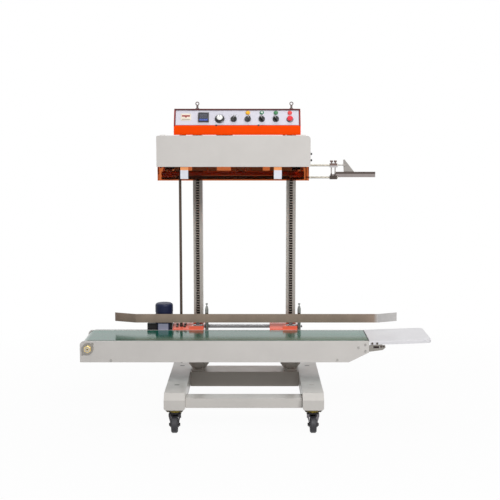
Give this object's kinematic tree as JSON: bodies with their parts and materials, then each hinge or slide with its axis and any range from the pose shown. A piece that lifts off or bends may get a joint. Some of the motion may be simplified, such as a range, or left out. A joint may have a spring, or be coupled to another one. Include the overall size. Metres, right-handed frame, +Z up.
{
  "type": "continuous band sealer",
  "caption": "Upright continuous band sealer: sealing head on racked columns over a height-adjustable belt conveyor, on a castered stand.",
  "frame": {"origin": "on the floor under the centre of the whole machine's outline", "axes": "+X along the conveyor towards the infeed tray, +Y from the operator's side to the columns, +Z up"},
  "size_m": [1.5814, 0.705, 1.4675],
  "materials": {
    "grey_paint": "semi-gloss powder coat",
    "orange_paint": "gloss powder coat",
    "white_paint": "satin powder coat",
    "motor_paint": "gloss enamel",
    "black_paint": "satin",
    "black_iron": "painted casting",
    "dark_steel": "oiled",
    "zinc_steel": "plated",
    "bright_steel": "polished",
    "stainless": "brushed",
    "brass_block": "machined",
    "panel_film": "printed film",
    "black_plastic": "moulded",
    "red_plastic": "moulded",
    "lamp_lens": "clear lens",
    "amber_acrylic": "tinted sheet",
    "seal_band": "coated glass cloth",
    "black_rubber": "matt",
    "green_belt": "glossy top",
    "grey_tyre": "smooth"
  },
  "bodies": {
    "stand": {"leg_left": "grey_paint", "leg_right": "grey_paint", "front_beam": "grey_paint", "column_beam": "grey_paint", "caster_plates": "zinc_steel", "columns": "grey_paint", "racks": "dark_steel", "lifting_eyes": "bright_steel", "head_base": "dark_steel", "head_frame": "grey_paint", "control_box": "orange_paint", "control_panel": "panel_film", "temp_controller": "black_plastic", "indicator_lamps": "lamp_lens", "seal_belts": "seal_band", "guide_belts": "black_rubber", "seal_blocks": "brass_block", "head_drive_belt": "black_rubber", "infeed_rods": "bright_steel"},
    "guard": {"guard_cover": "grey_paint", "shield": "amber_acrylic", "cover_knobs": "black_plastic"},
    "carriage": {"side_frame_front": "grey_paint", "side_frame_back": "grey_paint", "slider_bed": "bright_steel", "conveyor_belt": "green_belt", "carriage_brackets": "orange_paint", "motor": "motor_paint", "gear_housing": "black_iron", "chain_cover": "black_paint", "drive_chain": "dark_steel", "tray": "white_paint", "end_brackets": "stainless", "rail_posts": "bright_steel"},
    "infeed": {"infeed_clamp": "dark_steel", "infeed_guide": "stainless"},
    "drive_spindle_front": {"drive_spindle_front": "bright_steel"},
    "drive_spindle_rear": {"drive_spindle_rear": "bright_steel"},
    "idle_spindle_front": {"idle_spindle_front": "bright_steel"},
    "idle_spindle_rear": {"idle_spindle_rear": "bright_steel"},
    "drive_post": {"drive_post": "dark_steel"},
    "speed_dial": {"speed_dial": "black_plastic"},
    "selector_1": {"selector_1": "black_plastic"},
    "selector_2": {"selector_2": "black_plastic"},
    "selector_3": {"selector_3": "black_plastic"},
    "selector_4": {"selector_4": "black_plastic"},
    "stop_button": {"stop_button": "red_plastic"},
    "guide_rail": {"guide_rail": "stainless"},
    "drive_roller": {"drive_roller": "bright_steel"},
    "tail_roller": {"tail_roller": "bright_steel"},
    "gearbox_sprocket": {"gearbox_sprocket": "dark_steel"},
    "lift_shaft": {"lift_shaft": "bright_steel"},
    "caster_fork_fl": {"caster_fork_fl": "zinc_steel"},
    "caster_wheel_fl": {"caster_wheel_fl": "grey_tyre"},
    "caster_fork_fr": {"caster_fork_fr": "zinc_steel"},
    "caster_wheel_fr": {"caster_wheel_fr": "grey_tyre"},
    "caster_fork_rl": {"caster_fork_rl": "zinc_steel"},
    "caster_wheel_rl": {"caster_wheel_rl": "grey_tyre"},
    "caster_fork_rr": {"caster_fork_rr": "zinc_steel"},
    "caster_wheel_rr": {"caster_wheel_rr": "grey_tyre"}
  },
  "joints": [
    {"name": "carriage_lift", "type": "slide", "parent": "stand", "child": "carriage", "axis": [0, 0, 1], "range_m": [-0.06, 0.3]},
    {"name": "lift_shaft_turn", "type": "hinge", "parent": "carriage", "child": "lift_shaft", "pos_m": [-0.05267, 0.08, 0.402], "axis": [1, 0, 0], "range_deg": [-760, 160]},
    {"name": "guard_swing", "type": "hinge", "parent": "stand", "child": "guard", "pos_m": [-0.05267, -0.1, 1.309], "axis": [-1, 0, 0], "range_deg": [0, 80]},
    {"name": "post_spin", "type": "hinge", "parent": "stand", "child": "drive_post", "pos_m": [-0.35267, 0.046, 0.7], "axis": [0, 0, 1], "continuous": true},
    {"name": "drive_rear_spin", "type": "hinge", "parent": "stand", "child": "drive_spindle_rear", "pos_m": [-0.38767, -0.0695, 1.2], "axis": [0, 0, 1], "continuous": true},
    {"name": "drive_front_spin", "type": "hinge", "parent": "stand", "child": "drive_spindle_front", "pos_m": [-0.38767, -0.1405, 1.2], "axis": [0, 0, 1], "continuous": true},
    {"name": "idle_rear_spin", "type": "hinge", "parent": "stand", "child": "idle_spindle_rear", "pos_m": [0.18233, -0.0695, 1.2], "axis": [0, 0, 1], "continuous": true},
    {"name": "idle_front_spin", "type": "hinge", "parent": "stand", "child": "idle_spindle_front", "pos_m": [0.18233, -0.1405, 1.2], "axis": [0, 0, 1], "continuous": true},
    {"name": "drive_roller_spin", "type": "hinge", "parent": "carriage", "child": "drive_roller", "pos_m": [-0.75437, -0.106, 0.3617], "axis": [0, 1, 0], "continuous": true},
    {"name": "tail_roller_spin", "type": "hinge", "parent": "carriage", "child": "tail_roller", "pos_m": [0.48803, -0.106, 0.3797], "axis": [0, 1, 0], "continuous": true},
    {"name": "gearbox_sprocket_spin", "type": "hinge", "parent": "carriage", "child": "gearbox_sprocket", "pos_m": [-0.49267, 0.026, 0.3617], "axis": [0, 1, 0], "continuous": true},
    {"name": "guide_rail_slide", "type": "slide", "parent": "carriage", "child": "guide_rail", "axis": [0, -1, 0], "range_m": [0, 0.06]},
    {"name": "infeed_slide", "type": "slide", "parent": "stand", "child": "infeed", "axis": [-1, 0, 0], "range_m": [0, 0.05]},
    {"name": "speed_dial_turn", "type": "hinge", "parent": "stand", "child": "speed_dial", "pos_m": [-0.16267, -0.07075, 1.38634], "axis": [0, -0.866, 0.5], "range_deg": [-150, 150]},
    {"name": "selector_1_turn", "type": "hinge", "parent": "stand", "child": "selector_1", "pos_m": [-0.09917, -0.0715, 1.38504], "axis": [0, -0.866, 0.5], "range_deg": [-60, 60]},
    {"name": "selector_2_turn", "type": "hinge", "parent": "stand", "child": "selector_2", "pos_m": [-0.03567, -0.0715, 1.38504], "axis": [0, -0.866, 0.5], "range_deg": [-60, 60]},
    {"name": "selector_3_turn", "type": "hinge", "parent": "stand", "child": "selector_3", "pos_m": [0.02783, -0.0715, 1.38504], "axis": [0, -0.866, 0.5], "range_deg": [-60, 60]},
    {"name": "selector_4_turn", "type": "hinge", "parent": "stand", "child": "selector_4", "pos_m": [0.09133, -0.0715, 1.38504], "axis": [0, -0.866, 0.5], "range_deg": [-60, 60]},
    {"name": "stop_button_press", "type": "slide", "parent": "stand", "child": "stop_button", "axis": [0, 0.866, -0.5], "range_m": [0, 0.004], "stiffness_N_per_m": 600, "springref_m": -0.002},
    {"name": "caster_swivel_fl", "type": "hinge", "parent": "stand", "child": "caster_fork_fl", "pos_m": [-0.36067, -0.285, 0.09], "axis": [0, 0, 1], "continuous": true},
    {"name": "caster_wheel_spin_fl", "type": "hinge", "parent": "caster_fork_fl", "child": "caster_wheel_fl", "pos_m": [-0.36067, -0.315, 0.0375], "axis": [1, 0, 0], "continuous": true},
    {"name": "caster_swivel_fr", "type": "hinge", "parent": "stand", "child": "caster_fork_fr", "pos_m": [0.25533, -0.285, 0.09], "axis": [0, 0, 1], "continuous": true},
    {"name": "caster_wheel_spin_fr", "type": "hinge", "parent": "caster_fork_fr", "child": "caster_wheel_fr", "pos_m": [0.25533, -0.315, 0.0375], "axis": [1, 0, 0], "continuous": true},
    {"name": "caster_swivel_rl", "type": "hinge", "parent": "stand", "child": "caster_fork_rl", "pos_m": [-0.36067, 0.285, 0.09], "axis": [0, 0, 1], "continuous": true},
    {"name": "caster_wheel_spin_rl", "type": "hinge", "parent": "caster_fork_rl", "child": "caster_wheel_rl", "pos_m": [-0.36067, 0.315, 0.0375], "axis": [1, 0, 0], "continuous": true},
    {"name": "caster_swivel_rr", "type": "hinge", "parent": "stand", "child": "caster_fork_rr", "pos_m": [0.25533, 0.285, 0.09], "axis": [0, 0, 1], "continuous": true},
    {"name": "caster_wheel_spin_rr", "type": "hinge", "parent": "caster_fork_rr", "child": "caster_wheel_rr", "pos_m": [0.26801, 0.31219, 0.0375], "axis": [0.9063, -0.4226, 0], "continuous": true}
  ],
  "couplings": [
    {"joint": "lift_shaft_turn", "follows": "carriage_lift", "rad_per_m": -43.633},
    {"joint": "drive_rear_spin", "follows": "post_spin", "ratio": 1},
    {"joint": "drive_front_spin", "follows": "post_spin", "ratio": -1},
    {"joint": "idle_rear_spin", "follows": "post_spin", "ratio": 1},
    {"joint": "idle_front_spin", "follows": "post_spin", "ratio": -1},
    {"joint": "drive_roller_spin", "follows": "post_spin", "ratio": 0.99708},
    {"joint": "tail_roller_spin", "follows": "post_spin", "ratio": 2.0982},
    {"joint": "gearbox_sprocket_spin", "follows": "post_spin", "ratio": 0.99708}
  ]
}
